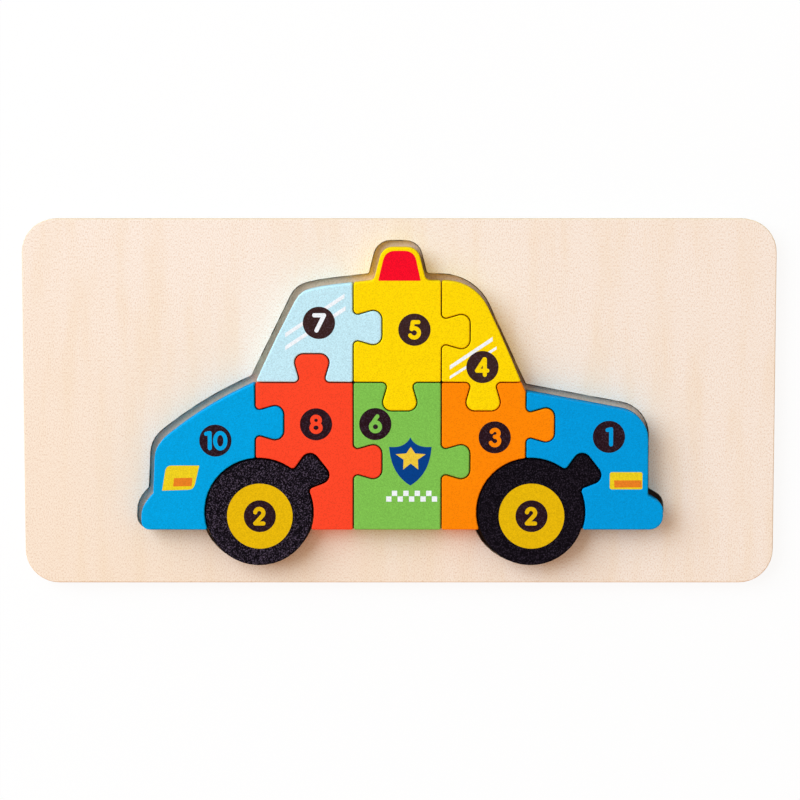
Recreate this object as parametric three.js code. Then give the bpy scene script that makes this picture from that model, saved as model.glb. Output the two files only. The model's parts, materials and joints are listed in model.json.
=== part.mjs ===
// A wooden tray puzzle: a flat tray of two glued sheets with a car-shaped pocket, and ten thick
// pieces that interlock in it like a jigsaw. Millimetres, +Z up, tray flat on XY, middle at the origin.
// The car is drawn in its own frame: x from the tray's middle, y up from the car's sill line.

import * as THREE from "three";

// Tray, with its width given as the plain board above the car's siren and below its wheels
const trayLength = 300;
const traySideBorder = 9.55;
const trayCornerRadius = 13.5;
const trayBackThickness = 3;
const trayFrameThickness = 3;
const trayEdgeEase = 0.35;
const pocketDrop = 0.4;
const pocketClearance = 1.4;
const pocketCornerRadius = 1.2;

// Pieces
const pieceThickness = 12;
const pieceEdgeEase = 0.45;
const pieceCornerRadius = 0.9;
const sawKerf = 0.45;

// The pieces lie slid towards the pocket's lower right, with these gaps left there
const restGapRight = 0.6;
const restGapBelow = 0.4;

// Jigsaw knobs: a flared tab with rounded root and head
const knobDepth = 11.4;
const knobRootWidth = 9.3;
const knobHeadWidth = 16;
const knobRootRadius = 1.8;
const knobHeadRadius = 3.5;

// Saw lines across the car
const beltHeight = 59.05;
const bonnetSeam = -57.9;
const frontPillar = -19;
const rearPillar = 15.9;
const bootSeam = 49.5;

// How far each knob stands past the middle of its saw line, from the sill up or from a pillar out
const bonnetKnobShift = -0.9;
const doorKnobShift = -2.1;
const frontWindowKnobShift = 2;
const frontBeltKnobShift = -3.1;
const middleBeltKnobShift = 1;
const rearBeltKnobShift = 0.6;

// Wheels, with each axle a little behind the seam above it
const wheelRadius = 21.55;
const axleHeight = 7.25;
const frontAxleBehind = 1.4;
const rearAxleBehind = 2.05;
const wheelKnobAngle = 38;
const wheelKnobDepth = 10.8;

// Front of the car: lengths from the bonnet seam or the bumper's end, drops from the belt
const frontLength = 45.7;
const frontBumperHeight = 9.5;
const frontBumperRadius = 10;
const frontBumperFootRadius = 3.4;
const grilleFootBehind = 4.8;
const grilleFootRise = 5.1;
const grilleTopBehind = 5.7;
const grilleTopDrop = 25.05;
const grilleRadius = 11;
const bonnetCrownAhead = 20.6;
const bonnetCrownDrop = 9.65;
const bonnetCrownRadius = 150;

// Cabin: lengths from the pillars, drops from the roof
const roofHeight = 99.5;
const windscreenTopAhead = 21.3;
const windscreenTopDrop = 4.6;
const windscreenRadius = 8.5;
const roofBendAhead = 12.8;
const roofBendDrop = 2.4;
const roofBendRadius = 60;
const roofRearBehind = 13.6;
const roofRearDrop = 0.4;
const roofRearRadius = 20;
const windowBelly = 0.6;
const windowBellyRadius = 400;

// Siren on the roof
const sirenPlace = -0.5;
const sirenFootWidth = 20.9;
const sirenTopWidth = 14.3;
const sirenRise = 13.1;
const sirenTopRadius = 5.4;
const sirenFootRadius = 2;

// Boot: its length from its seam, drops from the belt, and the bumper, whose top falls towards its end
const bootLength = 48.8;
const bootFootDrop = 3.55;
const bootEndDrop = 12.75;
const bootEndRadius = 12;
const rearBumperStep = 6.1;
const rearBumperHeight = 14;
const rearBumperFall = 3.5;
const rearBumperTopRadius = 4.5;
const rearBumperFootRadius = 5.6;
const innerCornerRadius = 0.8;

// How far a chord may stray from its arc, and the widest step round a small corner
const arcTolerance = 0.06;
const widestStep = THREE.MathUtils.degToRad(20);

// A corner of an outline: its place, and the radius that rounds it
function corner(x, y, radius = 0) {
  return { x, y, radius };
}

function stepsForArc(radius, angle) {
  const step = Math.min(widestStep, 2 * Math.acos(1 - Math.min(1, arcTolerance / radius)));
  return Math.max(1, Math.ceil(Math.abs(angle) / step));
}

// A point a given way along the line between two corners
function along(start, end, share, radius = 0) {
  return corner(start.x + (end.x - start.x) * share, start.y + (end.y - start.y) * share, radius);
}

function pointAtX(start, end, x, radius) {
  return along(start, end, (x - start.x) / (end.x - start.x), radius);
}

function pointAtY(start, end, y, radius) {
  return along(start, end, (y - start.y) / (end.y - start.y), radius);
}

function direction(from, to) {
  return new THREE.Vector2(to.x - from.x, to.y - from.y).normalize();
}

// The four corners of a knob that stands on a base line and points to the right of its direction
function knob(base, heading, depth) {
  const outward = new THREE.Vector2(heading.y, -heading.x);
  const place = (forward, out, radius) =>
    corner(
      base.x + heading.x * forward + outward.x * out,
      base.y + heading.y * forward + outward.y * out,
      radius,
    );
  return [
    place(-knobRootWidth / 2, 0, knobRootRadius),
    place(-knobHeadWidth / 2, depth, knobHeadRadius),
    place(knobHeadWidth / 2, depth, knobHeadRadius),
    place(knobRootWidth / 2, 0, knobRootRadius),
  ];
}

// A saw line between two corners, with one knob on its right, at its middle or shifted along it
function seam(start, end, knobShift = 0) {
  const heading = direction(start, end);
  const middle = along(start, end, 0.5);
  const base = corner(middle.x + heading.x * knobShift, middle.y + heading.y * knobShift);
  return [start, ...knob(base, heading, knobDepth), end];
}

// The middle of a side, bellied out a little to the right of its direction
function belly(start, end) {
  const middle = along(start, end, 0.5);
  const heading = direction(start, end);
  return corner(
    middle.x + heading.y * windowBelly,
    middle.y - heading.x * windowBelly,
    windowBellyRadius,
  );
}

function reversed(corners) {
  return [...corners].reverse();
}

// An outline moved outwards by a distance, inwards where it is negative. It runs counterclockwise,
// and each round corner keeps its centre.
function offset(corners, distance) {
  return corners.map((here, index) => {
    const before = direction(corners.at(index - 1), here);
    const after = direction(here, corners[(index + 1) % corners.length]);
    const mitre = distance / (1 + before.dot(after));
    const bulge = before.cross(after) > 0 ? distance : -distance;
    return corner(
      here.x + (before.y + after.y) * mitre,
      here.y - (before.x + after.x) * mitre,
      here.radius > 0 ? Math.max(0.2, here.radius + bulge) : 0,
    );
  });
}

// The points of an outline, with each corner rounded as far as its two sides have room for
function rounded(corners) {
  const count = corners.length;
  const turns = corners.map((here, index) => {
    const before = direction(corners.at(index - 1), here);
    const after = direction(here, corners[(index + 1) % count]);
    const angle = Math.atan2(before.cross(after), before.dot(after));
    return { here, before, angle, reach: here.radius * Math.tan(Math.abs(angle) / 2) };
  });
  const room = turns.map((turn, index) => {
    const next = turns[(index + 1) % count];
    const length = Math.hypot(next.here.x - turn.here.x, next.here.y - turn.here.y);
    return Math.min(1, (0.98 * length) / Math.max(turn.reach + next.reach, 1e-9));
  });
  return turns.flatMap(({ here, before, angle, reach }, index) => {
    const share = Math.min(room[index], room.at(index - 1));
    const radius = here.radius * share;
    if (radius === 0 || Math.abs(angle) < 1e-4) {
      return [new THREE.Vector2(here.x, here.y)];
    }
    const side = Math.sign(angle);
    const startX = here.x - before.x * reach * share;
    const startY = here.y - before.y * reach * share;
    const centreX = startX - before.y * radius * side;
    const centreY = startY + before.x * radius * side;
    const firstAngle = Math.atan2(startY - centreY, startX - centreX);
    const steps = stepsForArc(radius, angle);
    return Array.from({ length: steps + 1 }, (_, step) => {
      const turned = firstAngle + (angle * step) / steps;
      return new THREE.Vector2(
        centreX + radius * Math.cos(turned),
        centreY + radius * Math.sin(turned),
      );
    });
  });
}

// A flat piece of wood cut to an outline, standing on z = 0, with its edges eased
function cutFromSheet(outline, thickness, ease, holes = []) {
  const shape = new THREE.Shape(outline);
  shape.holes = holes.map((hole) => new THREE.Path(hole));
  const geometry = new THREE.ExtrudeGeometry(shape, {
    depth: thickness - 2 * ease,
    bevelThickness: ease,
    bevelSize: ease,
    bevelOffset: -ease,
    bevelSegments: 2,
  });
  return geometry.translate(0, 0, ease);
}

// Points on a wheel's rim, counterclockwise from one angle to another, both included
function rim(axle, fromAngle, toAngle) {
  const steps = stepsForArc(wheelRadius, toAngle - fromAngle);
  return Array.from({ length: steps + 1 }, (_, step) => {
    const angle = fromAngle + ((toAngle - fromAngle) * step) / steps;
    return corner(axle + wheelRadius * Math.cos(angle), axleHeight + wheelRadius * Math.sin(angle));
  });
}

const frontAxle = bonnetSeam + frontAxleBehind;
const rearAxle = bootSeam + rearAxleBehind;

// Angles on a wheel's rim from +X: where the sill meets it, and where its knob stands
const sillBehind = -Math.asin(axleHeight / wheelRadius);
const sillAhead = Math.PI - sillBehind;
const knobMiddle = THREE.MathUtils.degToRad(wheelKnobAngle);
const knobHalf = Math.asin(knobRootWidth / 2 / wheelRadius);

// The knob on a wheel's rim, with its root corners on the rim
function wheelKnob(axle) {
  const outward = new THREE.Vector2(Math.cos(knobMiddle), Math.sin(knobMiddle));
  const baseReach = wheelRadius * Math.cos(knobHalf);
  const base = corner(axle + outward.x * baseReach, axleHeight + outward.y * baseReach);
  return knob(base, new THREE.Vector2(-outward.y, outward.x), wheelKnobDepth);
}

function wheelOutline(axle) {
  const tyre = rim(axle, knobMiddle + knobHalf, knobMiddle - knobHalf + 2 * Math.PI);
  return [...wheelKnob(axle), ...tyre.slice(1, -1)];
}

// The same stretch with its two ends rounded as corners of a piece
function withPieceCorners(corners) {
  const last = corners.length - 1;
  return corners.map((here, index) =>
    index === 0 || index === last ? corner(here.x, here.y, pieceCornerRadius) : here,
  );
}

function seamAngle(axle, seamPlace) {
  return Math.acos((seamPlace - axle) / wheelRadius);
}

// The arch ahead of a seam that comes down on a wheel, from the sill up to the seam
function archAhead(axle, seamPlace) {
  return withPieceCorners(reversed(rim(axle, seamAngle(axle, seamPlace), sillAhead)));
}

// The arch behind that seam, from the seam round the wheel's knob down to the sill
function archBehind(axle, seamPlace) {
  const lower = rim(axle, sillBehind, knobMiddle - knobHalf);
  const upper = rim(axle, knobMiddle + knobHalf, seamAngle(axle, seamPlace));
  return withPieceCorners(reversed([...lower.slice(0, -1), ...wheelKnob(axle), ...upper.slice(1)]));
}

// The part of a wheel's rim that stands out below the sill, front to back
function rimBelowSill(axle) {
  return withPieceCorners(rim(axle, sillAhead, sillBehind + 2 * Math.PI));
}

// A closed outline from stretches that meet end to end
function outline(...stretches) {
  const corners = stretches.flat();
  return corners.filter((here, index) => {
    const before = corners.at(index - 1);
    return Math.hypot(here.x - before.x, here.y - before.y) > 1e-6;
  });
}

// Corners of the car's outline
const windscreenFoot = corner(bonnetSeam, beltHeight, pieceCornerRadius);
const bootFoot = corner(bootSeam, beltHeight - bootFootDrop, pieceCornerRadius);
const roofBend = corner(frontPillar - roofBendAhead, roofHeight - roofBendDrop, roofBendRadius);
const roofRear = corner(rearPillar + roofRearBehind, roofHeight - roofRearDrop, roofRearRadius);
const sirenFrontFoot = corner(sirenPlace - sirenFootWidth / 2, roofHeight, sirenFootRadius);
const sirenRearFoot = corner(sirenPlace + sirenFootWidth / 2, roofHeight, sirenFootRadius);

// The car's outline in four stretches, counterclockwise: back, siren, windscreen and front
const bootEnd = bootSeam + bootLength;
const rearBumperEnd = bootEnd + rearBumperStep;
const backEnd = [
  corner(rearBumperEnd, 0, rearBumperFootRadius),
  corner(rearBumperEnd, rearBumperHeight - rearBumperFall, rearBumperTopRadius),
  corner(bootEnd, rearBumperHeight, innerCornerRadius),
  corner(bootEnd, beltHeight - bootEndDrop, bootEndRadius),
  bootFoot,
];
const siren = [
  sirenRearFoot,
  corner(sirenPlace + sirenTopWidth / 2, roofHeight + sirenRise, sirenTopRadius),
  corner(sirenPlace - sirenTopWidth / 2, roofHeight + sirenRise, sirenTopRadius),
  sirenFrontFoot,
];
const windscreen = [
  roofBend,
  corner(frontPillar - windscreenTopAhead, roofHeight - windscreenTopDrop, windscreenRadius),
  windscreenFoot,
];
const frontBumperEnd = bonnetSeam - frontLength;
const grilleFootHeight = frontBumperHeight + grilleFootRise;
const frontEnd = [
  windscreenFoot,
  corner(bonnetSeam - bonnetCrownAhead, beltHeight - bonnetCrownDrop, bonnetCrownRadius),
  corner(frontBumperEnd + grilleTopBehind, beltHeight - grilleTopDrop, grilleRadius),
  corner(frontBumperEnd + grilleFootBehind, grilleFootHeight, innerCornerRadius),
  corner(frontBumperEnd, frontBumperHeight, frontBumperRadius),
  corner(frontBumperEnd, 0, frontBumperFootRadius),
];

// Where the saw lines start and end
const onSill = (place) => corner(place, 0, pieceCornerRadius);
const onBelt = (place) => corner(place, beltHeight, pieceCornerRadius);
const frontPillarTop = pointAtX(roofBend, sirenFrontFoot, frontPillar, pieceCornerRadius);
const rearPillarTop = pointAtX(sirenRearFoot, roofRear, rearPillar, pieceCornerRadius);
const beltEnd = pointAtY(roofRear, bootFoot, beltHeight, pieceCornerRadius);
const frontArchAhead = archAhead(frontAxle, bonnetSeam);
const rearArchAhead = archAhead(rearAxle, bootSeam);

// The saw lines
const bonnetLine = seam(frontArchAhead.at(-1), windscreenFoot, bonnetKnobShift);
const frontDoorLine = seam(onSill(frontPillar), onBelt(frontPillar), doorKnobShift);
const rearDoorLine = seam(onSill(rearPillar), onBelt(rearPillar), doorKnobShift);
const bootLine = seam(rearArchAhead.at(-1), bootFoot);
const frontWindowLine = seam(onBelt(frontPillar), frontPillarTop, frontWindowKnobShift);
const rearWindowLine = seam(onBelt(rearPillar), rearPillarTop);
const frontBelt = seam(onBelt(frontPillar), windscreenFoot, frontBeltKnobShift);
const middleBelt = seam(onBelt(frontPillar), onBelt(rearPillar), middleBeltKnobShift);
const rearBelt = seam(onBelt(rearPillar), beltEnd, rearBeltKnobShift);

const blue = 0x01a0de;
const paleBlue = 0xbeecf6;
const yellow = 0xfed501;
const red = 0xff482d;
const green = 0x7bc14f;
const orange = 0xff8a00;
const black = 0x1e1620;
const bareWood = 0xeee1d3;

const pieces = [
  ["bonnet_piece", blue, outline(frontEnd, frontArchAhead, bonnetLine)],
  [
    "windscreen_piece",
    paleBlue,
    outline(
      windscreen.slice(0, -1),
      belly(windscreen.at(-2), windscreenFoot),
      reversed(frontBelt),
      frontWindowLine,
    ),
  ],
  [
    "front_door_piece",
    red,
    outline(archBehind(frontAxle, bonnetSeam), frontDoorLine, frontBelt, reversed(bonnetLine)),
  ],
  ["roof_piece", yellow, outline(middleBelt, rearWindowLine, siren, reversed(frontWindowLine))],
  [
    "middle_door_piece",
    green,
    outline(reversed(frontDoorLine), rearDoorLine, reversed(middleBelt)),
  ],
  [
    "rear_window_piece",
    yellow,
    outline(rearBelt, belly(beltEnd, roofRear), roofRear, reversed(rearWindowLine)),
  ],
  [
    "rear_door_piece",
    orange,
    outline(rearArchAhead, bootLine, reversed(rearBelt), reversed(rearDoorLine)),
  ],
  ["boot_piece", blue, outline(archBehind(rearAxle, bootSeam), backEnd, reversed(bootLine))],
  ["front_wheel_piece", black, wheelOutline(frontAxle)],
  ["rear_wheel_piece", black, wheelOutline(rearAxle)],
];

const wholeCar = outline(
  frontEnd.slice(1),
  rimBelowSill(frontAxle),
  rimBelowSill(rearAxle),
  backEnd,
  roofRear,
  siren,
  windscreen,
);

// The tray's width follows the car, which stands midway across it, a little low
const carTop = roofHeight + sirenRise;
const carFoot = axleHeight - wheelRadius;
const trayWidth = carTop - carFoot + 2 * traySideBorder;
const sillPlace = -(carTop + carFoot) / 2 - pocketDrop;

// The pocket follows the whole car at its clearance, with inner corners as round as the cutter leaves them
function pocketOutline() {
  const clear = offset(wholeCar, pocketClearance - sawKerf / 2);
  const cutter = clear.map(({ x, y, radius }) =>
    corner(x, y + sillPlace, radius > 0 ? Math.max(radius, pocketCornerRadius) : 0),
  );
  return rounded(cutter);
}

function trayOutline() {
  const right = trayLength / 2;
  const back = trayWidth / 2;
  return rounded([
    corner(-right, -back, trayCornerRadius),
    corner(right, -back, trayCornerRadius),
    corner(right, back, trayCornerRadius),
    corner(-right, back, trayCornerRadius),
  ]);
}

function part(name, geometry, color, roughness) {
  const material = new THREE.MeshStandardMaterial({ color, roughness, metalness: 0 });
  const mesh = new THREE.Mesh(geometry, material);
  mesh.name = name;
  return mesh;
}

function buildTray() {
  const tray = new THREE.Group();
  const back = cutFromSheet(trayOutline(), trayBackThickness, trayEdgeEase);
  const frame = cutFromSheet(trayOutline(), trayFrameThickness, trayEdgeEase, [pocketOutline()]);
  frame.translate(0, 0, trayBackThickness);
  tray.add(part("tray_back", back, bareWood, 0.7), part("tray_frame", frame, bareWood, 0.7));
  return tray;
}

function buildCar() {
  const car = new THREE.Group();
  const slideRight = pocketClearance - restGapRight;
  const slideDown = pocketClearance - restGapBelow;
  car.position.set(slideRight, sillPlace - slideDown, trayBackThickness);
  for (const [name, color, corners] of pieces) {
    const sawn = rounded(offset(corners, -sawKerf / 2));
    car.add(part(name, cutFromSheet(sawn, pieceThickness, pieceEdgeEase), color, 0.5));
  }
  return car;
}

const puzzle = new THREE.Group();
puzzle.add(buildTray(), buildCar());

export default puzzle;
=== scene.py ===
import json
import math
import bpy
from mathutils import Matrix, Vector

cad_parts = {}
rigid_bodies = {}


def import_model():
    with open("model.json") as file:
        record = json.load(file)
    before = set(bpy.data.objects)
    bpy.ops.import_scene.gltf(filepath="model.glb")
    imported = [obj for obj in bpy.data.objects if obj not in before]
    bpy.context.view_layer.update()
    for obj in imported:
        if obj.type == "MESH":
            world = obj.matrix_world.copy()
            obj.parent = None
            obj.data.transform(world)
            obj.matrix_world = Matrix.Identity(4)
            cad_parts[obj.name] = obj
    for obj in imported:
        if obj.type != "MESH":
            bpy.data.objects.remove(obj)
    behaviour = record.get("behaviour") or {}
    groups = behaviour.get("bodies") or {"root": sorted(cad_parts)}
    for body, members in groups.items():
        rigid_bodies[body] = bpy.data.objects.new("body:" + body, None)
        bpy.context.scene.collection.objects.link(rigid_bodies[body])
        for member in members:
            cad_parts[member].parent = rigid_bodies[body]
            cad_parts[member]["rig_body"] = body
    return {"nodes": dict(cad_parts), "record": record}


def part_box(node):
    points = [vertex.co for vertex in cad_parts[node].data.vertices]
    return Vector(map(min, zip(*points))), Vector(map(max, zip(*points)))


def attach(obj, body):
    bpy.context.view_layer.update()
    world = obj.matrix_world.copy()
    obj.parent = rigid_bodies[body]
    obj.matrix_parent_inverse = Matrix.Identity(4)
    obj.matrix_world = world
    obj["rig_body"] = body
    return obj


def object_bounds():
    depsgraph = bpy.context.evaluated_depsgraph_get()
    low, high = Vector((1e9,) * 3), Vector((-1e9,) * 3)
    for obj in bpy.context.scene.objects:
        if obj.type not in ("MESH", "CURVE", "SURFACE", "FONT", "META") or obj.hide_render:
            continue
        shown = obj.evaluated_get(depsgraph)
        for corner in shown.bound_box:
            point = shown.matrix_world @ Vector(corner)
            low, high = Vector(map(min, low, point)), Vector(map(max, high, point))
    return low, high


bl_info = {
    "name": "Wooden Tray Puzzle",
    "version": (1, 0, 0),
    "blender": (4, 5, 0),
    "location": "3D View > Sidebar > Puzzle",
    "description": "Finishes a wooden car puzzle in its tray: bare wood, paint and printed marks",
    "category": "Object",
}

import bmesh
import bpy
from bpy.props import FloatProperty, FloatVectorProperty, PointerProperty
from mathutils import Vector
from mathutils.geometry import delaunay_2d_cdt

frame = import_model()
cad_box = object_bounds()

MM = 0.001


def linear(hex_colour):
    """Turns an sRGB hex colour into linear red, green and blue."""
    channels = [int(hex_colour[place : place + 2], 16) / 255 for place in (1, 3, 5)]
    return [c / 12.92 if c <= 0.04045 else ((c + 0.055) / 1.055) ** 2.4 for c in channels]


def length(name, description, millimetres):
    """A length that can be changed, with its default in mm."""
    return FloatProperty(
        name=name, description=description, default=millimetres * MM, min=0, unit="LENGTH"
    )


def angle(name, description, degrees):
    """An angle that can be changed, with its default in degrees."""
    return FloatProperty(
        name=name, description=description, default=math.radians(degrees), subtype="ANGLE"
    )


def colour(name, description, hex_colour):
    """A colour that can be changed, with its default in sRGB hex."""
    return FloatVectorProperty(
        name=name,
        description=description,
        default=linear(hex_colour),
        subtype="COLOR",
        min=0,
        max=1,
    )


class PuzzleSizes(bpy.types.PropertyGroup):
    """Sizes of the printed marks"""

    ink: length("Ink", "How far a printed layer stands above the paint", 0.03)
    number_disc: length("Number disc", "Diameter of the disc behind each number", 12.75)
    number_stroke: length("Number stroke", "Width of the strokes of the numbers", 1.65)
    hub: length("Hub", "Diameter of the hub printed on each wheel", 26.1)
    glare_bar: length("Glare bar", "Full width of a white bar, of which each has a share", 1.6)
    check: length("Check", "Side of one square of the chequered band", 2.1)


class PuzzleColours(bpy.types.PropertyGroup):
    """Colours of the wood, the paints and the printing inks"""

    bare_wood: colour("Bare wood", "Pale sapwood of the veneer", "#FDF0E3")
    # Painted light and shade: the veneer is painted warmer and darker towards the front left, standing in
    # for warm light from that side
    honey_wood: colour("Honey wood", "Veneer at the tray's front left", "#FAE2C4")
    warm_wood: colour("Warm wood", "Warmer drifts in the veneer", "#F7E0C2")
    # The pocket's floor is painted darker and warmer than the bare veneer, as the shade that lies in the
    # gaps round the pieces
    smoked_wood: colour("Smoked wood", "Pocket's floor, browned by the hot cutting", "#FDDBC1")
    wood_pores: colour("Wood pores", "Fine pores and short flecks in the veneer", "#DDB896")
    core_wood: colour("Core wood", "Core ply that shows in the cut edges", "#D9B08C")
    # Dark brown of the scorched edges and glue lines, also used as painted shade round the shade spots on
    # the pocket's floor
    scorched_wood: colour("Scorched wood", "Wood that the hot cutting burnt", "#3A2416")
    blue_paint: colour("Blue", "Paint on the bonnet", "#00A3E2")
    # Painted shade: a darker copy of the bonnet's blue for the boot, standing in for the light's falloff
    # towards the right
    deep_blue_paint: colour("Deep blue", "Paint on the boot, a little darker", "#009ADE")
    pale_blue_paint: colour("Pale blue", "Paint on the windscreen", "#C2EAF6")
    red_paint: colour("Red", "Paint on the front door", "#FB4728")
    yellow_paint: colour("Yellow", "Paint on the roof and the rear window", "#FDD803")
    green_paint: colour("Green", "Paint on the middle door", "#7EC150")
    orange_paint: colour("Orange", "Paint on the rear door", "#FE8803")
    black_paint: colour("Black", "Paint on the rear wheel", "#070308")
    dusty_black_paint: colour("Dusty black", "Paint on the front wheel, with more bloom", "#070308")
    black_ink: colour("Black ink", "Discs behind the lower numbers, a brownish black", "#251017")
    # Lighter than the black ink below the belt, as painted glare from the bright yellow and pale blue round
    # these discs
    thin_black_ink: colour("Thin black ink", "Discs behind the numbers above the belt", "#37211F")
    bloom: colour("Bloom", "Dusty grey that fine pores leave on black", "#907E9A")
    yellow_ink: colour("Yellow ink", "Hubs", "#E5B808")
    lemon_ink: colour("Lemon ink", "Headlight and tail light", "#EBD01F")
    orange_ink: colour("Orange ink", "Bars in the lights", "#E78023")
    red_ink: colour("Red ink", "Siren", "#F50C28")
    navy_ink: colour("Navy ink", "Shield of the badge", "#043F88")
    gold_ink: colour("Gold ink", "Star of the badge", "#EEC83C")
    white_ink: colour("White ink", "Glare bars, windscreen number and chequered band", "#F1F7FC")


class PuzzleStage(bpy.types.PropertyGroup):
    """Camera and light"""

    target: FloatVectorProperty(
        name="Target",
        description="Middle of the picture, at which the camera and the key lamp are aimed",
        default=(0.32 * MM, 0.68 * MM, 6 * MM),
        subtype="TRANSLATION",
        unit="LENGTH",
    )
    camera_distance: length("Camera distance", "From the camera to the target", 1100)
    camera_lean: angle("Camera lean", "How far the camera leans towards the car's roof", 5.6)
    lens: FloatProperty(
        name="Lens", description="Focal length of the camera", default=123.95, unit="CAMERA"
    )
    key_colour: colour("Key colour", "Colour of the key lamp, a touch cool", "#DAEDFF")
    key_power: FloatProperty(
        name="Key power", description="Power of the soft key lamp", default=179, unit="POWER"
    )
    key_height: angle("Key height", "Angle of the key lamp above the table", 38)
    key_turn: angle("Key turn", "Direction of the key lamp, from the tray's right end", 150)
    key_distance: length("Key distance", "From the key lamp to the target", 4000)
    key_size: length("Key size", "Side of the key lamp's square front", 3400)
    front_colour: colour("Front colour", "Light off a warm reflector on the wheels' side", "#FFA76D")
    back_colour: colour("Back colour", "Light from all other sides, nearly neutral", "#DADFD4")
    ambient: FloatProperty(
        name="Ambient", description="Strength of the light from all round", default=0.775, min=0
    )


class PuzzleSettings(bpy.types.PropertyGroup):
    """All that can be changed"""

    sizes: PointerProperty(type=PuzzleSizes)
    colours: PointerProperty(type=PuzzleColours)
    stage: PointerProperty(type=PuzzleStage)


def add_node(owner, kind, inputs, **settings):
    """Adds a shader node with its settings, and gives its inputs values or links from other nodes."""
    node = owner.node_tree.nodes.new(kind)
    for name, value in settings.items():
        setattr(node, name, value)
    for socket, value in inputs.items():
        if isinstance(value, bpy.types.NodeSocket):
            owner.node_tree.links.new(value, node.inputs[socket])
        else:
            node.inputs[socket].default_value = value
    return node


def new_material(name):
    """Starts a material, and returns it with its surface shader and the place on the puzzle in metres."""
    material = bpy.data.materials.new(name)
    material.use_nodes = True
    surface = material.node_tree.nodes["Principled BSDF"]
    place = add_node(material, "ShaderNodeTexCoord", {}).outputs["Object"]
    return material, surface, place


def grain(material, place, across, along, detail=2.0):
    """Noise drawn out along the wood's fibres, with the size of one fleck across and along them."""
    stretched = add_node(
        material,
        "ShaderNodeMapping",
        {"Vector": place, "Scale": (1 / across, 1 / along, 1 / across)},
    )
    noise = add_node(
        material,
        "ShaderNodeTexNoise",
        {"Vector": stretched.outputs["Vector"], "Scale": 1.0, "Detail": detail, "Roughness": 0.55},
    )
    return noise.outputs["Fac"]


def opaque(rgb):
    """A colour with its alpha, as the nodes' sockets take it."""
    return (*rgb, 1.0)


def stained(material, base, stains):
    """Lays tints over a base colour. Each tint starts where its pattern passes a first level, and has
    its full share of the colour from a second level on."""
    for pattern, start, full, share, tint in stains:
        amount = add_node(
            material,
            "ShaderNodeMapRange",
            {"Value": pattern, "From Min": start, "From Max": full, "To Max": share},
            interpolation_type="SMOOTHSTEP",
        )
        blend = add_node(
            material,
            "ShaderNodeMix",
            {0: amount.outputs["Result"], 6: base, 7: opaque(tint)},
            data_type="RGBA",
        )
        base = blend.outputs[2]
    return base


def sanded(material, surface, base, pattern, depth, roughness, shine):
    """Gives a surface its colour and shine, and the fine relief and uneven dullness of sanding."""
    relief_strength = 0.3
    unevenness = 0.06
    links = material.node_tree.links
    links.new(base, surface.inputs["Base Color"])
    relief = add_node(
        material,
        "ShaderNodeBump",
        {"Strength": relief_strength, "Distance": depth, "Height": pattern},
    )
    links.new(relief.outputs["Normal"], surface.inputs["Normal"])
    dullness = add_node(
        material,
        "ShaderNodeMapRange",
        {
            "Value": pattern,
            "From Min": 0.3,
            "From Max": 0.7,
            "To Min": roughness - unevenness,
            "To Max": roughness + unevenness,
        },
    )
    links.new(dullness.outputs["Result"], surface.inputs["Roughness"])
    surface.inputs["Specular IOR Level"].default_value = shine


def basswood_veneer(name, colours, pale, shade_spots=()):
    """Basswood, peeled for plywood, sanded and left unsealed: pale, nearly even and almost without
    shine. The eye finds slow warm drifts, short fine pores and a few flecks, all along the grain. The
    sheet is painted warmer and darker towards its front left, as painted light and shade, and round
    each given shade spot it is painted nearly black, as the shade in deep gaps. Real pores are 0.1 mm
    wide and are drawn 0.4 mm wide, so that they show."""
    front_left = (-0.49, -0.87, 0)
    shade_core = 7 * MM
    shade_edge = 11 * MM
    material, surface, place = new_material(name)
    drifts = grain(material, place, 9 * MM, 60 * MM, 3.0)
    pores = grain(material, place, 0.4 * MM, 0.7 * MM)
    flecks = grain(material, place, 0.8 * MM, 2.2 * MM)
    towards = add_node(
        material, "ShaderNodeVectorMath", {0: place, 1: front_left}, operation="DOT_PRODUCT"
    )
    stains = [
        # Painted light and shade: a warmer, darker cast towards the front left
        (towards.outputs["Value"], -20 * MM, 110 * MM, 0.45, colours.honey_wood),
        (drifts, 0.4, 0.75, 0.45, colours.warm_wood),
        (pores, 0.4, 0.8, 0.75, colours.wood_pores),
        (flecks, 0.76, 0.82, 0.6, colours.wood_pores),
    ]
    # Painted shade: round each spot the floor is darkened nearly to black, as in the deepest gaps
    for middle in shade_spots:
        away = add_node(
            material, "ShaderNodeVectorMath", {0: place, 1: middle}, operation="DISTANCE"
        )
        stains.append((away.outputs["Value"], shade_edge, shade_core, 0.95, colours.scorched_wood))
    wood = stained(material, opaque(pale), stains)
    sanded(material, surface, wood, pores, depth=0.05 * MM, roughness=0.75, shine=0.12)
    return material


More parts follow.
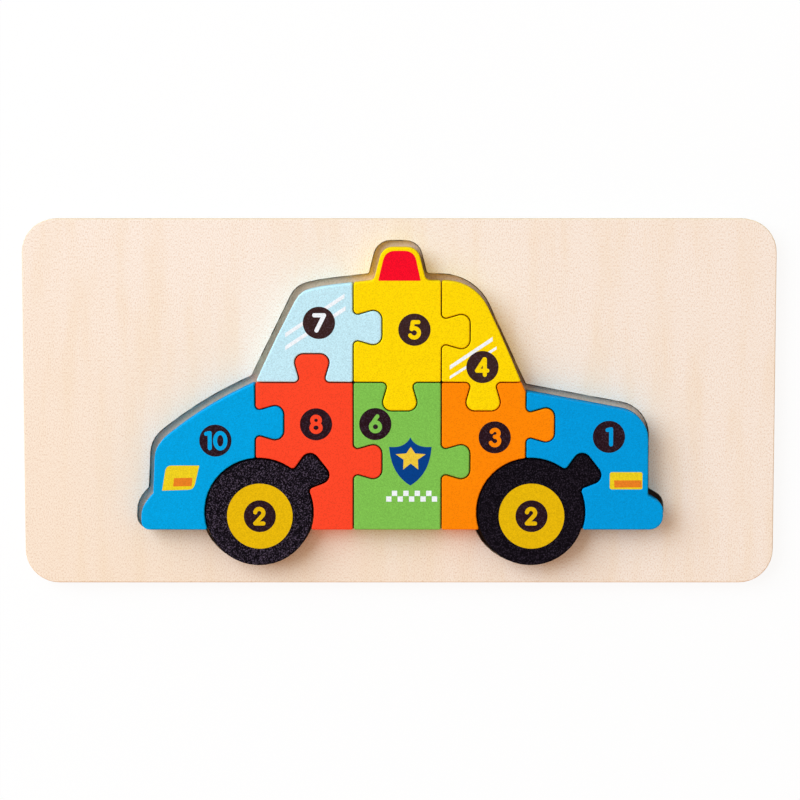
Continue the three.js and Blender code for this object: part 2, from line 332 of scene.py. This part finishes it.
def plywood_edge(name, colours, scorch):
    """The cut edge of three-ply basswood: pale outer plies, a browner core whose fibres end there, and
    thin glue lines. Where it was cut out hot, it is scorched dark brown by the share given. On the
    pocket's wall that share is nearly full, partly scorch and partly painted shade that darkens the gaps."""
    low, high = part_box("tray_back")
    sheet = high.z - low.z
    outer_ply = sheet / 4
    half_glue_line = 0.07 * MM
    material, surface, place = new_material(name)
    height = add_node(material, "ShaderNodeSeparateXYZ", {"Vector": place}).outputs["Z"]
    from_face = add_node(material, "ShaderNodeMath", {0: height, 1: sheet / 2}, operation="PINGPONG")
    depth = from_face.outputs["Value"]
    glue = add_node(
        material, "ShaderNodeMath", {0: depth, 1: outer_ply, 2: half_glue_line}, operation="COMPARE"
    )
    fibre_ends = grain(material, place, 0.45 * MM, 0.45 * MM)
    smoke_and_shade = grain(material, place, 6 * MM, 6 * MM)
    stains = [
        (depth, 0.96 * outer_ply, 1.04 * outer_ply, 0.7, colours.core_wood),
        (glue.outputs["Value"], 0.4, 0.6, 0.5, colours.scorched_wood),
        (fibre_ends, 0.45, 0.75, 0.5, colours.wood_pores),
        (smoke_and_shade, 0.1, 0.6, scorch, colours.scorched_wood),
    ]
    wood = stained(material, opaque(colours.warm_wood), stains)
    sanded(material, surface, wood, fibre_ends, depth=0.1 * MM, roughness=0.85, shine=0.1)
    return material


def coloured_coat(name, rgb, roughness, bloom, bloom_colour):
    """A thin opaque coat on sanded basswood, paint or printing ink: one matt colour, finely mottled by
    the roller and the wood's pores, where dust lies as a bloom on black tops. The mottling is drawn
    0.45 mm across, about twice its real size, so that it shows."""
    unevenness = 0.18
    material, surface, place = new_material(name)
    mottle = grain(material, place, 0.45 * MM, 0.5 * MM)
    tone = add_node(
        material,
        "ShaderNodeMapRange",
        {
            "Value": mottle,
            "From Min": 0.25,
            "From Max": 0.75,
            "To Min": 1 - unevenness,
            "To Max": 1 + unevenness,
        },
    )
    coat = add_node(
        material, "ShaderNodeHueSaturation", {"Value": tone.outputs["Result"], "Color": opaque(rgb)}
    )
    facing = add_node(material, "ShaderNodeNewGeometry", {}).outputs["Normal"]
    upward = add_node(material, "ShaderNodeSeparateXYZ", {"Vector": facing}).outputs["Z"]
    dust = add_node(material, "ShaderNodeMath", {0: mottle, 1: upward}, operation="MULTIPLY")
    stains = [(dust.outputs["Value"], 0.5, 0.68, bloom, bloom_colour)]
    worn = stained(material, coat.outputs["Color"], stains)
    sanded(material, surface, worn, mottle, depth=0.05 * MM, roughness=roughness, shine=0.03)
    return material


def shared(name, make, *details):
    """A material by name, made once."""
    return bpy.data.materials.get(name) or make(name, *details)


def bare_veneer(colours):
    """The veneer on the tray and on the pieces' undersides."""
    return shared("basswood_veneer", basswood_veneer, colours, colours.bare_wood)


# Share of the dusty bloom on each black coat
BLOOM = {"black_paint": 0.1, "dusty_black_paint": 0.32, "black_ink": 0.1, "thin_black_ink": 0.1}


def paint(colours, shade):
    """Water paint, rolled on and nearly matt."""
    rgb, bloom = getattr(colours, shade), BLOOM.get(shade, 0)
    return shared(f"{shade}_on_basswood", coloured_coat, rgb, 0.6, bloom, colours.bloom)


def ink(colours, shade):
    """Screen ink, printed over the paint and a little glossier."""
    rgb, bloom = getattr(colours, shade), BLOOM.get(shade, 0)
    return shared(shade, coloured_coat, rgb, 0.5, bloom, colours.bloom)


def smooth(piece):
    """Lets light run smoothly over the rounded walls and eased edges, and leaves flat faces flat."""
    attributes = piece.data.attributes
    for name in ("custom_normal", "sharp_edge"):
        if name in attributes:
            attributes.remove(attributes[name])
    piece.data.shade_smooth()
    weld = piece.modifiers.new("joined faces", "WELD")
    weld.merge_threshold = 0.001 * MM
    even = piece.modifiers.new("even light", "WEIGHTED_NORMAL")
    even.weight = 80


def clothe(piece, choose, *materials):
    """Gives each face of a piece the material that is chosen for it."""
    piece.data.materials.clear()
    for material in materials:
        piece.data.materials.append(material)
    for face in piece.data.polygons:
        face.material_index = choose(face)
    smooth(piece)


def spot(piece, x, y):
    """A place on a piece's top in metres, given in mm from the lower left corner of its box."""
    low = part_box(piece)[0]
    return Vector((low.x + x * MM, low.y + y * MM))


def on_piece(piece, outline):
    """An outline on a piece's top in metres, given in mm from the lower left corner of its box."""
    corner = spot(piece, 0, 0)
    return [corner + Vector(point) * MM for point in outline]


def moved(outline, place):
    """An outline at another place."""
    return [Vector(point) + Vector(place) for point in outline]


def turned(vector, degrees):
    """A vector turned to the left."""
    turn = math.radians(degrees)
    return Vector(
        (
            vector.x * math.cos(turn) - vector.y * math.sin(turn),
            vector.x * math.sin(turn) + vector.y * math.cos(turn),
        )
    )


def arc(centre, radius_x, radius_y, start, end, steps=32):
    """Points along an ellipse's arc, between two angles in degrees."""
    x, y = centre
    turns = [math.radians(start + (end - start) * step / steps) for step in range(steps + 1)]
    return [(x + radius_x * math.cos(turn), y + radius_y * math.sin(turn)) for turn in turns]


def disc(diameter):
    """The outline of a disc round the origin."""
    return arc((0, 0), diameter / 2, diameter / 2, 0, 360, 96)[:-1]


def band(points, width, ends=8):
    """The outline of a line of a given width with round ends, along points that bend gently."""
    line = [Vector(point) for point in points]
    last = len(line) - 1
    headings = [
        (line[min(i + 1, last)] - line[max(i - 1, 0)]).normalized() for i in range(len(line))
    ]
    sides = [Vector((-heading.y, heading.x)) * (width / 2) for heading in headings]
    left = [point + side for point, side in zip(line, sides)]
    right = [point - side for point, side in zip(line, sides)]
    nose = [line[-1] + turned(-sides[-1], 180 * step / ends) for step in range(1, ends)]
    tail = [line[0] + turned(sides[0], 180 * step / ends) for step in range(1, ends)]
    return right + nose + left[::-1] + tail


def squared_band(start, end, width):
    """The outline of a straight bar whose ends are cut upright."""
    slope = math.atan2(end.y - start.y, end.x - start.x)
    rise = Vector((0, width / 2 / math.cos(slope)))
    return [start - rise, end - rise, end + rise, start + rise]


def bend(start, pull, end, steps=16):
    """Points along a curve from a start to an end, bent towards a third point. The end is left out."""
    first, middle, last = Vector(start), Vector(pull), Vector(end)
    shares = [step / steps for step in range(steps)]
    return [first * (1 - t) ** 2 + middle * 2 * t * (1 - t) + last * t**2 for t in shares]


def rounded(corners):
    """An outline through corners given as x, y and the length of each side that its bend takes."""
    outline = []
    for index, (x, y, reach) in enumerate(corners):
        here = Vector((x, y))
        before = Vector(corners[index - 1][:2])
        after = Vector(corners[(index + 1) % len(corners)][:2])
        start = here + (before - here).normalized() * reach
        end = here + (after - here).normalized() * reach
        outline += bend(start, here, end, 6) + [end] if reach else [here]
    return outline


def even_sided(left):
    """The outline of an upright figure in metres, from its left side in mm, from top to foot."""
    right = [(-x, y) for x, y in left[-2:0:-1]]
    return [Vector(point) * MM for point in [*left, *right]]


def printed(name, piece, material, layers, thickness):
    """Prints one flat layer on a piece's top, as deep in the paint as it stands above it. Each outline
    adds ink or leaves a place bare, and where several cover a place, the last decides."""
    inside_outlines = 1
    nearness = 0.001
    points = [Vector(point) / MM for _, outline in layers for point in outline]
    faces = []
    for _, outline in layers:
        first = faces[-1][-1] + 1 if faces else 0
        faces.append(list(range(first, first + len(outline))))
    cut = delaunay_2d_cdt(points, [], faces, inside_outlines, nearness)
    corners, _, cells, _, _, covers = cut
    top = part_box(piece)[1].z
    film = bmesh.new()
    raised = [film.verts.new((x * MM, y * MM, top - thickness)) for x, y in corners]
    for cell, cover in zip(cells, covers):
        if cover and layers[max(cover)][0]:
            film.faces.new([raised[index] for index in cell])
    if not film.faces:
        raise RuntimeError(f"{name} has no printed face")
    bmesh.ops.delete(film, geom=[v for v in film.verts if not v.link_faces], context="VERTS")
    lifted = bmesh.ops.extrude_face_region(film, geom=film.faces[:], use_keep_orig=True)
    film_top = [item for item in lifted["geom"] if isinstance(item, bmesh.types.BMVert)]
    bmesh.ops.translate(film, verts=film_top, vec=(0, 0, 2 * thickness))
    bmesh.ops.recalc_face_normals(film, faces=film.faces[:])
    mesh = bpy.data.meshes.new(name)
    film.to_mesh(mesh)
    film.free()
    mesh.materials.append(material)
    layer = bpy.data.objects.new(name, mesh)
    bpy.context.scene.collection.objects.link(layer)
    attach(layer, frame["nodes"][piece]["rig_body"])


# The numbers' strokes as centre lines, and their closed bowls as rings, in mm from a number's middle
STROKES = {
    "0": [],
    "1": [[(-0.6, 2.72), (0.85, 3.05)], [(0.85, 3.05), (0.85, -3.02)]],
    "2": [
        arc((-0.2, 1.3), 1.63, 1.63, 172, -43) + [(-1.83, -2.93)],
        [(-1.83, -2.93), (1.42, -2.93)],
    ],
    "3": [arc((0.1, 1.6), 1.45, 1.4, 155, -90), arc((0.05, -1.45), 1.75, 1.7, 90, -155)],
    "4": [
        [(0.75, 3.1), (-2.15, -1.45)],
        [(-2.15, -1.45), (1.95, -1.45)],
        [(0.95, 3.05), (0.95, -3.1)],
    ],
    "5": [
        [(1.55, 3.0), (-0.65, 3.0)],
        [(-0.65, 3.0), (-1.1, 0.25)],
        arc((-0.1, -1.25), 1.87, 1.87, 121, -148),
    ],
    "6": [[(0.8, 3.09), (-1.45, -0.15)]],
    "7": [[(-1.82, 3.0), (2.05, 3.0)], [(2.05, 3.0), (-0.95, -3.02)]],
    "8": [],
}
RINGS = {
    "0": [((0, -0.05), 2.05, 3.1)],
    "6": [((0.05, -1.07), 1.8, 1.8)],
    "8": [((0, 1.6), 1.52, 1.46), ((0, -1.35), 1.83, 1.68)],
}
# How far each figure of a number with one or two figures stands from the number's middle, in mm
FIGURE_SHIFTS = {1: [0], 2: [-3.1, 1.95]}


def number_outlines(number, stroke):
    """Outlines of a number's strokes, and of the counters inside its rings, in metres."""
    solid = []
    counters = []
    for figure, shift in zip(number, FIGURE_SHIFTS[len(number)]):
        aside = Vector((shift * MM, 0))
        for line in STROKES[figure]:
            solid.append(moved(band([Vector(point) * MM for point in line], stroke), aside))
        for centre, radius_x, radius_y in RINGS.get(figure, []):
            for side, group in ((stroke / 2, solid), (-stroke / 2, counters)):
                ring = arc((0, 0), radius_x * MM + side, radius_y * MM + side, 0, 360, 64)[:-1]
                group.append(moved(ring, aside + Vector(centre) * MM))
    return solid, counters


# Places of marks, here and in the operators, are in mm from the lower left corner of the piece's box
NUMBERS = [
    ("boot_piece", "1", 32.65, 37.2),
    ("rear_door_piece", "3", 20.95, 37.0),
    ("rear_window_piece", "4", 16.0, 17.35),
    ("roof_piece", "5", 24.0, 32.15),
    ("middle_door_piece", "6", 8.5, 42.3),
    ("windscreen_piece", "7", 24.65, 23.45),
    ("front_door_piece", "8", 23.9, 42.2),
    ("bonnet_piece", "10", 29.65, 35.7),
]
UPPER_PIECES = ["windscreen_piece", "roof_piece", "rear_window_piece"]
WHEELS = ["front_wheel_piece", "rear_wheel_piece"]
WHEEL_NUMBER = "2"
HUB_PLACE = (21.55, 19.75)
# Spots on the pocket's floor painted nearly black, as painted shade in the narrow gaps at the rear bumper
# and below the rear wheel
PAINTED_SHADE_SPOTS = [("boot_piece", 49.0, 14.8), ("rear_wheel_piece", 2.9, 11.0)]


class PUZZLE_OT_finish_tray(bpy.types.Operator):
    """Gives the tray its bare plywood faces and cut edges"""

    bl_idname = "tray_puzzle.finish_tray"
    bl_label = "Finish tray"

    def execute(self, context):
        colours = context.scene.tray_puzzle.colours
        # A face is flat where its normal is this upright, and the outer edge's where it is this near the rim
        flat = 0.99
        rim = 4.5 * MM
        low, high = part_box("tray_frame")
        shade_spots = [(*spot(piece, x, y), low.z) for piece, x, y in PAINTED_SHADE_SPOTS]
        veneer, outer_edge, pocket_wall, pocket_floor = range(4)
        materials = [
            bare_veneer(colours),
            plywood_edge("plywood_edge", colours, 0.05),
            # The pocket's wall: nearly all dark brown, partly scorch and partly painted shade for the gaps
            plywood_edge("scorched_plywood_edge", colours, 0.95),
            # Pocket's floor: veneer painted darker and warmer, as painted shade in the gaps
            basswood_veneer("smoked_basswood_veneer", colours, colours.smoked_wood, shade_spots),
        ]

        def choose(face):
            """Tells the pocket's floor and wall from the other faces and the outer edge."""
            x, y, z = face.center
            upward = face.normal.z
            if abs(upward) > flat:
                return pocket_floor if upward > 0 and z < high.z - MM else veneer
            from_rim = min(x - low.x, high.x - x, y - low.y, high.y - y)
            return outer_edge if from_rim < rim else pocket_wall

        for sheet in ("tray_back", "tray_frame"):
            clothe(frame["nodes"][sheet], choose, *materials)
        return {"FINISHED"}


class PUZZLE_OT_paint_pieces(bpy.types.Operator):
    """Paints the ten pieces on their tops and sides, and leaves their undersides bare"""

    bl_idname = "tray_puzzle.paint_pieces"
    bl_label = "Paint pieces"

    def execute(self, context):
        colours = context.scene.tray_puzzle.colours
        # The boot gets a darker copy of the blue, as painted shade
        shades = {"boot_piece": "deep_blue_paint", "front_wheel_piece": "dusty_black_paint"}
        painted, bare = range(2)
        underside = -0.6

        def choose(face):
            """Leaves the faces bare that look down."""
            return bare if face.normal.z < underside else painted

        for part in frame["record"]["subparts"]:
            piece, slot = part["node"], part["material_slot"]
            if slot != "bare_wood":
                coat = paint(colours, shades.get(piece, slot))
                clothe(frame["nodes"][piece], choose, coat, bare_veneer(colours))
        return {"FINISHED"}


class PUZZLE_OT_print_numbers(bpy.types.Operator):
    """Prints black discs with open numbers on all pieces but the wheels. The windscreen's is white"""

    bl_idname = "tray_puzzle.print_numbers"
    bl_label = "Print numbers"

    def execute(self, context):
        settings = context.scene.tray_puzzle
        sizes = settings.sizes
        for piece, number, x, y in NUMBERS:
            # The discs on the upper pieces get the lighter ink, as painted glare from the bright paint round
            # them
            shade = "thin_black_ink" if piece in UPPER_PIECES else "black_ink"
            black = ink(settings.colours, shade)
            middle = spot(piece, x, y)
            solid, counters = number_outlines(number, sizes.number_stroke)
            layers = [(True, moved(disc(sizes.number_disc), middle))]
            layers += [(False, moved(outline, middle)) for outline in solid]
            layers += [(True, moved(outline, middle)) for outline in counters]
            printed(f"number_{number}", piece, black, layers, sizes.ink)
            if piece == "windscreen_piece":
                white = ink(settings.colours, "white_ink")
                figure = [(True, moved(outline, middle)) for outline in solid]
                printed("windscreen_figure", piece, white, figure, sizes.ink)
        return {"FINISHED"}


class PUZZLE_OT_print_hubs(bpy.types.Operator):
    """Prints a yellow hub on each wheel, with a black disc and a yellow number in it"""

    bl_idname = "tray_puzzle.print_hubs"
    bl_label = "Print hubs"

    def execute(self, context):
        settings = context.scene.tray_puzzle
        sizes = settings.sizes
        yellow = ink(settings.colours, "yellow_ink")
        black = ink(settings.colours, "black_ink")
        strokes, _ = number_outlines(WHEEL_NUMBER, sizes.number_stroke)
        for wheel in WHEELS:
            middle = spot(wheel, *HUB_PLACE)
            number = [moved(outline, middle) for outline in strokes]
            ground = moved(disc(sizes.number_disc), middle)
            hub = [(True, moved(disc(sizes.hub), middle)), (False, ground)]
            hub += [(True, outline) for outline in number]
            printed(wheel.replace("piece", "hub"), wheel, yellow, hub, sizes.ink)
            layers = [(True, ground)] + [(False, outline) for outline in number]
            name = wheel.replace("piece", "number")
            printed(name, wheel, black, layers, sizes.ink)
        return {"FINISHED"}


class PUZZLE_OT_print_lights(bpy.types.Operator):
    """Prints the headlight and the tail light, each with an orange bar"""

    bl_idname = "tray_puzzle.print_lights"
    bl_label = "Print lights"

    def execute(self, context):
        settings = context.scene.tray_puzzle
        thickness = settings.sizes.ink
        lemon = ink(settings.colours, "lemon_ink")
        orange = ink(settings.colours, "orange_ink")
        headlight = [(8.35, 15.7, 0.1), (20.9, 16.1, 2.2), (23.25, 25.75, 0.4), (10.0, 25.75, 2.3)]
        headlight_bar = [(12.75, 17.35), (20.1, 17.5), (20.5, 20.85), (13.15, 20.7)]
        tail_light = [(33.1, 16.2, 1.0), (46.1, 16.2, 0.8), (46.1, 23.1, 1.0), (33.1, 23.1, 1.0)]
        tail_light_bar = [(35.0, 16.95), (45.9, 16.95), (45.7, 19.8), (34.8, 19.8)]
        for piece, name, light, bar in (
            ("bonnet_piece", "headlight", headlight, headlight_bar),
            ("boot_piece", "tail_light", tail_light, tail_light_bar),
        ):
            lamp = on_piece(piece, rounded(light))
            strip = on_piece(piece, bar)
            printed(name, piece, lemon, [(True, lamp), (False, strip)], thickness)
            printed(f"{name}_bar", piece, orange, [(True, strip)], thickness)
        return {"FINISHED"}


class PUZZLE_OT_print_glare(bpy.types.Operator):
    """Prints two slanted white glare bars on each window, behind its number"""

    bl_idname = "tray_puzzle.print_glare"
    bl_label = "Print glare bars"

    def execute(self, context):
        settings = context.scene.tray_puzzle
        sizes = settings.sizes
        white = ink(settings.colours, "white_ink")
        # Each bar's two ends, and its share of the full width
        window_bars = {
            "windscreen_piece": [
                ((11.3, 18.55), (34.8, 34.15), 0.9),
                ((11.3, 13.45), (35.2, 29.25), 0.9),
            ],
            "rear_window_piece": [
                ((3.1, 17.15), (20.0, 28.45), 0.85),
                ((3.1, 13.15), (21.6, 24.95), 0.62),
            ],
        }
        numbers = {piece: (x, y) for piece, _, x, y in NUMBERS}
        for piece, bars in window_bars.items():
            layers = []
            for start, end, share in bars:
                ends = on_piece(piece, [start, end])
                layers.append((True, squared_band(*ends, sizes.glare_bar * share)))
            layers.append((False, moved(disc(sizes.number_disc), spot(piece, *numbers[piece]))))
            name = piece.replace("piece", "glare")
            printed(name, piece, white, layers, sizes.ink)
        return {"FINISHED"}


class PUZZLE_OT_print_siren(bpy.types.Operator):
    """Prints the red lamp of the siren, inside its yellow border"""

    bl_idname = "tray_puzzle.print_siren"
    bl_label = "Print siren"

    def execute(self, context):
        settings = context.scene.tray_puzzle
        lamp = [(9.7, 51.5, 0.3), (26.45, 51.5, 0.3), (23.9, 63.3, 4.0), (12.5, 63.3, 4.0)]
        layers = [(True, on_piece("roof_piece", rounded(lamp)))]
        red = ink(settings.colours, "red_ink")
        printed("siren_lamp", "roof_piece", red, layers, settings.sizes.ink)
        return {"FINISHED"}


class PUZZLE_OT_print_badge(bpy.types.Operator):
    """Prints a plain shield with a star on the middle door"""

    bl_idname = "tray_puzzle.print_badge"
    bl_label = "Print badge"

    def execute(self, context):
        settings = context.scene.tray_puzzle
        thickness = settings.sizes.ink
        door = "middle_door_piece"
        top = spot(door, 22.4, 37.05)
        # The left sides of both figures, in mm from the shield's top
        peak, shoulder, foot = (0, 0), (-8.4, -3.85), (0, -19.3)
        shield_side = bend(peak, (-2.1, -4.5), shoulder) + bend(shoulder, (-7.7, -14.7), foot) + [foot]
        star_side = [(0, -3.85), (-1.75, -6.45), (-5.95, -6.8)]
        star_side += [(-2.85, -8.95), (-3.0, -12.9), (0, -10.5)]
        star_shift = Vector((0.15, 0)) * MM
        shield = moved(even_sided(shield_side), top)
        star = moved(even_sided(star_side), top + star_shift)
        navy = ink(settings.colours, "navy_ink")
        gold = ink(settings.colours, "gold_ink")
        layers = [(True, shield), (False, star)]
        printed("badge_shield", door, navy, layers, thickness)
        printed("badge_star", door, gold, [(True, star)], thickness)
        return {"FINISHED"}


class PUZZLE_OT_print_band(bpy.types.Operator):
    """Prints a chequered white band under the badge"""

    bl_idname = "tray_puzzle.print_band"
    bl_label = "Print chequered band"

    def execute(self, context):
        settings = context.scene.tray_puzzle
        sizes = settings.sizes
        door = "middle_door_piece"
        corner = spot(door, 12.8, 11.3)
        side = sizes.check
        spacing = 1.08
        columns = 9
        pitch = side * spacing
        square = [(0, 0), (side, 0), (side, side), (0, side)]
        layers = []
        for column in range(columns):
            place = corner + Vector((column * pitch, (column % 2) * pitch))
            layers.append((True, moved(square, place)))
        white = ink(settings.colours, "white_ink")
        printed("chequered_band", door, white, layers, sizes.ink)
        return {"FINISHED"}


def looked_at(owner):
    """Is 1 where the camera looks, itself or in a reflection or through glass, and 0 elsewhere."""
    rays = add_node(owner, "ShaderNodeLightPath", {}).outputs
    seen = rays["Is Camera Ray"]
    for kind in ("Is Glossy Ray", "Is Transmission Ray"):
        either = add_node(owner, "ShaderNodeMath", {0: seen, 1: rays[kind]}, operation="MAXIMUM")
        seen = either.outputs["Value"]
    return seen


def studio_paper():
    """White background paper: matt, and so bright to the camera that only a faint shadow is left on it.
    From below it can't be seen, so that the tray's underside shows."""
    paper_white = (0.97, 0.97, 0.97)
    glow_share = 0.9
    material, surface, _ = new_material("studio_paper")
    surface.inputs["Base Color"].default_value = opaque(paper_white)
    surface.inputs["Roughness"].default_value = 0.9
    surface.inputs["Specular IOR Level"].default_value = 0.0
    seen = looked_at(material)
    share = add_node(material, "ShaderNodeMath", {0: seen, 1: glow_share}, operation="MULTIPLY")
    glow = add_node(material, "ShaderNodeEmission", {"Color": (1, 1, 1, 1), "Strength": 1.0})
    both = add_node(
        material,
        "ShaderNodeMixShader",
        {0: share.outputs["Value"], 1: surface.outputs["BSDF"], 2: glow.outputs["Emission"]},
    )
    below = add_node(material, "ShaderNodeNewGeometry", {}).outputs["Backfacing"]
    clear = add_node(material, "ShaderNodeBsdfTransparent", {}).outputs["BSDF"]
    one_sided = add_node(
        material, "ShaderNodeMixShader", {0: below, 1: both.outputs["Shader"], 2: clear}
    )
    end = material.node_tree.nodes["Material Output"]
    material.node_tree.links.new(one_sided.outputs["Shader"], end.inputs["Surface"])
    return material


def open_sheet(low, high):
    """A wide floor just under the tray. It is open where the tray covers it, so that light from below
    reaches the tray's underside."""
    drop = 0.1 * MM
    cover = 1 * MM
    corner = 12 * MM
    spread = 30
    left, right = low[0] + cover, high[0] - cover
    front, back = low[1] + cover, high[1] - cover
    hole = rounded(
        [(left, front, corner), (right, front, corner), (right, back, corner), (left, back, corner)]
    )
    count = len(hole)
    points = [(*point * reach, low[2] - drop) for reach in (1, spread) for point in hole]
    strips = []
    for place in range(count):
        after = (place + 1) % count
        strips.append((place, place + count, after + count, after))
    mesh = bpy.data.meshes.new("floor")
    mesh.from_pydata(points, [], strips)
    return mesh


def lay_floor(scene):
    """Lays the white paper under the tray."""
    sheet = open_sheet(*cad_box)
    sheet.materials.append(studio_paper())
    floor = bpy.data.objects.new("floor", sheet)
    scene.collection.objects.link(floor)


def place_camera(scene, stage):
    """Puts the camera above the puzzle, leaning a little towards the car's roof."""
    lean = stage.camera_lean
    upward = Vector((0, math.sin(lean), math.cos(lean)))
    camera = bpy.data.objects.new("camera", bpy.data.cameras.new("camera"))
    scene.collection.objects.link(camera)
    camera.location = Vector(stage.target) + upward * stage.camera_distance
    camera.rotation_euler = (-lean, 0, 0)
    camera.data.lens = stage.lens
    camera.data.sensor_width = 36
    scene.camera = camera


def hang_key_lamp(scene, stage):
    """Hangs the large soft key lamp at the upper left."""
    lamp = bpy.data.lights.new("key_lamp", "AREA")
    lamp.color = stage.key_colour
    lamp.energy = stage.key_power
    lamp.size = stage.key_size
    key = bpy.data.objects.new("key_lamp", lamp)
    scene.collection.objects.link(key)
    aim = Vector(
        (
            math.cos(stage.key_height) * math.cos(stage.key_turn),
            math.cos(stage.key_height) * math.sin(stage.key_turn),
            math.sin(stage.key_height),
        )
    )
    key.location = Vector(stage.target) + aim * stage.key_distance
    key.rotation_euler = aim.to_track_quat("Z", "Y").to_euler()


def light_all_round(scene, stage):
    """Lights the puzzle from all round, warm from the wheels' side. The camera sees white instead."""
    all_warm, all_neutral = -0.7, 0.0
    world = bpy.data.worlds.new("studio")
    scene.world = world
    world.use_nodes = True
    ambient = world.node_tree.nodes["Background"]
    ambient.inputs["Strength"].default_value = stage.ambient
    sky = add_node(world, "ShaderNodeTexCoord", {}).outputs["Generated"]
    backward = add_node(world, "ShaderNodeSeparateXYZ", {"Vector": sky}).outputs["Y"]
    turn = add_node(
        world,
        "ShaderNodeMapRange",
        {"Value": backward, "From Min": all_warm, "From Max": all_neutral},
    )
    front, back = opaque(stage.front_colour), opaque(stage.back_colour)
    both_sides = add_node(
        world, "ShaderNodeMix", {0: turn.outputs["Result"], 6: front, 7: back}, data_type="RGBA"
    )
    world.node_tree.links.new(both_sides.outputs[2], ambient.inputs["Color"])
    backdrop = add_node(world, "ShaderNodeBackground", {"Color": (1, 1, 1, 1), "Strength": 1.0})
    both = add_node(
        world,
        "ShaderNodeMixShader",
        {
            0: looked_at(world),
            1: ambient.outputs["Background"],
            2: backdrop.outputs["Background"],
        },
    )
    end = world.node_tree.nodes["World Output"]
    world.node_tree.links.new(both.outputs["Shader"], end.inputs["Surface"])


class PUZZLE_OT_set_stage(bpy.types.Operator):
    """Sets the white floor, the soft light and the camera above the tray"""

    bl_idname = "tray_puzzle.set_stage"
    bl_label = "Set stage"

    def execute(self, context):
        scene = context.scene
        stage = scene.tray_puzzle.stage
        scene.view_settings.view_transform = "Standard"
        lay_floor(scene)
        place_camera(scene, stage)
        hang_key_lamp(scene, stage)
        light_all_round(scene, stage)
        return {"FINISHED"}


OPERATORS = [
    PUZZLE_OT_finish_tray,
    PUZZLE_OT_paint_pieces,
    PUZZLE_OT_print_numbers,
    PUZZLE_OT_print_hubs,
    PUZZLE_OT_print_lights,
    PUZZLE_OT_print_glare,
    PUZZLE_OT_print_siren,
    PUZZLE_OT_print_badge,
    PUZZLE_OT_print_band,
    PUZZLE_OT_set_stage,
]


class PUZZLE_PT_panel(bpy.types.Panel):
    """Lists the steps that finish the puzzle, and what can be changed"""

    bl_idname = "PUZZLE_PT_panel"
    bl_label = "Wooden Tray Puzzle"
    bl_space_type = "VIEW_3D"
    bl_region_type = "UI"
    bl_category = "Puzzle"

    def draw(self, context):
        settings = context.scene.tray_puzzle
        for step in OPERATORS:
            self.layout.operator(step.bl_idname)
        for group in (settings.sizes, settings.colours, settings.stage):
            column = self.layout.column(align=True)
            for name in group.bl_rna.properties.keys():
                if name not in ("rna_type", "name"):
                    column.prop(group, name)


CLASSES = [PuzzleSizes, PuzzleColours, PuzzleStage, PuzzleSettings, *OPERATORS, PUZZLE_PT_panel]


def register():
    for cls in CLASSES:
        bpy.utils.register_class(cls)
    bpy.types.Scene.tray_puzzle = PointerProperty(type=PuzzleSettings)


def unregister():
    del bpy.types.Scene.tray_puzzle
    for cls in reversed(CLASSES):
        bpy.utils.unregister_class(cls)


def main():
    register()
    bpy.ops.tray_puzzle.finish_tray()
    bpy.ops.tray_puzzle.paint_pieces()
    bpy.ops.tray_puzzle.print_numbers()
    bpy.ops.tray_puzzle.print_hubs()
    bpy.ops.tray_puzzle.print_lights()
    bpy.ops.tray_puzzle.print_glare()
    bpy.ops.tray_puzzle.print_siren()
    bpy.ops.tray_puzzle.print_badge()
    bpy.ops.tray_puzzle.print_band()
    bpy.ops.tray_puzzle.set_stage()


if __name__ == "__main__":
    main()
